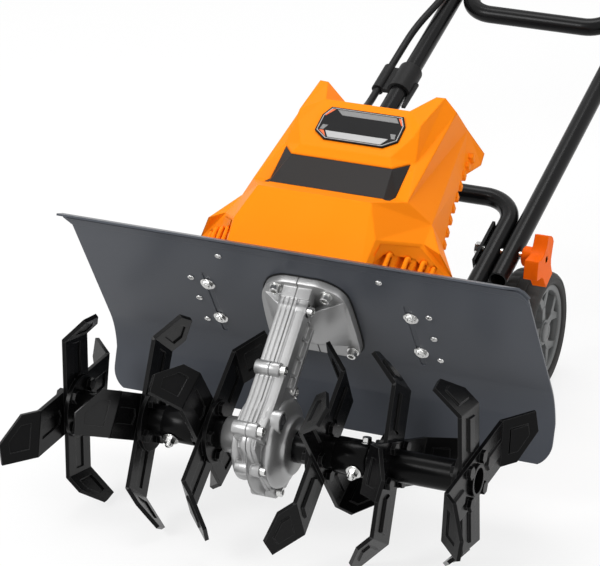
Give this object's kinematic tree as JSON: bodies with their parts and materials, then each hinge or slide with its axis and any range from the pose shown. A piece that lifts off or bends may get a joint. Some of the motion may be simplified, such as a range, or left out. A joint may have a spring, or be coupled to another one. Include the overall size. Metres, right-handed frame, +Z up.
{
  "type": "electric tiller",
  "caption": "Walk-behind electric tiller with folded hexagonal tines, sloping shield, faceted hood, rear wheels and a two-stage folding tube handle.",
  "frame": {"origin": "on the floor, under the middle of the bounding box", "axes": "+Z up, the machine's front faces -Y, +X is the right side of a viewer who faces its front"},
  "size_m": [0.47, 1.4138, 0.5049],
  "materials": {
    "case": "satin",
    "black_steel": "gloss",
    "zinc": "satin",
    "shield_paint": "satin",
    "hood_orange": "gloss",
    "window_dark": "gloss",
    "label_blank": "matte",
    "tube_black": "gloss",
    "knob_orange": "satin",
    "plastic_black": "matte",
    "rubber_black": "matte",
    "tyre_black": "matte",
    "rim_grey": "matte",
    "iron": "matte"
  },
  "bodies": {
    "chassis": {"gear_case_left": "case", "gear_case_right": "case", "motor_block": "iron", "shield": "shield_paint", "hood": "hood_orange", "hood_window": "window_dark", "label_plate": "label_blank", "hood_base": "plastic_black", "lower_frame": "tube_black", "frame_bracket_left": "tube_black", "frame_bracket_right": "tube_black", "pivot_bolts_lower": "zinc", "clamp_knobs_lower": "knob_orange", "wheel_axle": "zinc", "wheel_bracket_left": "tube_black", "wheel_bracket_right": "tube_black", "cable_gland": "plastic_black", "cable_lower": "rubber_black"},
    "tine_assembly": {"tine_shaft": "zinc", "tine_sleeve_left": "black_steel", "tine_sleeve_right": "black_steel", "tine_rotor_left_inner": "black_steel", "tine_rotor_left_middle": "black_steel", "tine_rotor_left_outer": "black_steel", "tine_rotor_right_inner": "black_steel", "tine_rotor_right_middle": "black_steel", "tine_rotor_right_outer": "black_steel"},
    "wheel_left": {"tyre_left": "tyre_black", "wheel_rim_left": "rim_grey"},
    "wheel_right": {"tyre_right": "tyre_black", "wheel_rim_right": "rim_grey"},
    "handle_lower": {"handle_tube_left": "tube_black", "handle_tube_right": "tube_black", "pivot_bolts_upper": "zinc", "clamp_knobs_upper": "knob_orange", "cable_clip": "plastic_black", "cable_middle": "rubber_black"},
    "handle_upper": {"upper_handle": "tube_black", "grip_left": "rubber_black", "grip_right": "rubber_black", "switch_box": "plastic_black", "switch_lever": "knob_orange", "cable_fold": "rubber_black", "cable_upper": "rubber_black"}
  },
  "joints": [
    {"name": "tine_spin", "type": "hinge", "parent": "chassis", "child": "tine_assembly", "pos_m": [0, -0.60357, 0.1027], "axis": [1, 0, 0], "continuous": true},
    {"name": "wheel_left_spin", "type": "hinge", "parent": "chassis", "child": "wheel_left", "pos_m": [-0.105, -0.18257, 0.063], "axis": [1, 0, 0], "continuous": true},
    {"name": "wheel_right_spin", "type": "hinge", "parent": "chassis", "child": "wheel_right", "pos_m": [0.105, -0.18257, 0.063], "axis": [1, 0, 0], "continuous": true},
    {"name": "handle_lower_fold", "type": "hinge", "parent": "chassis", "child": "handle_lower", "pos_m": [0, -0.23657, 0.167], "axis": [1, 0, 0], "range_deg": [0, 115], "deforming": ["cable_lower"]},
    {"name": "handle_upper_fold", "type": "hinge", "parent": "handle_lower", "child": "handle_upper", "pos_m": [0, 0.17423, 0.31006], "axis": [-1, 0, 0], "range_deg": [0, 150], "deforming": ["cable_fold"]}
  ]
}
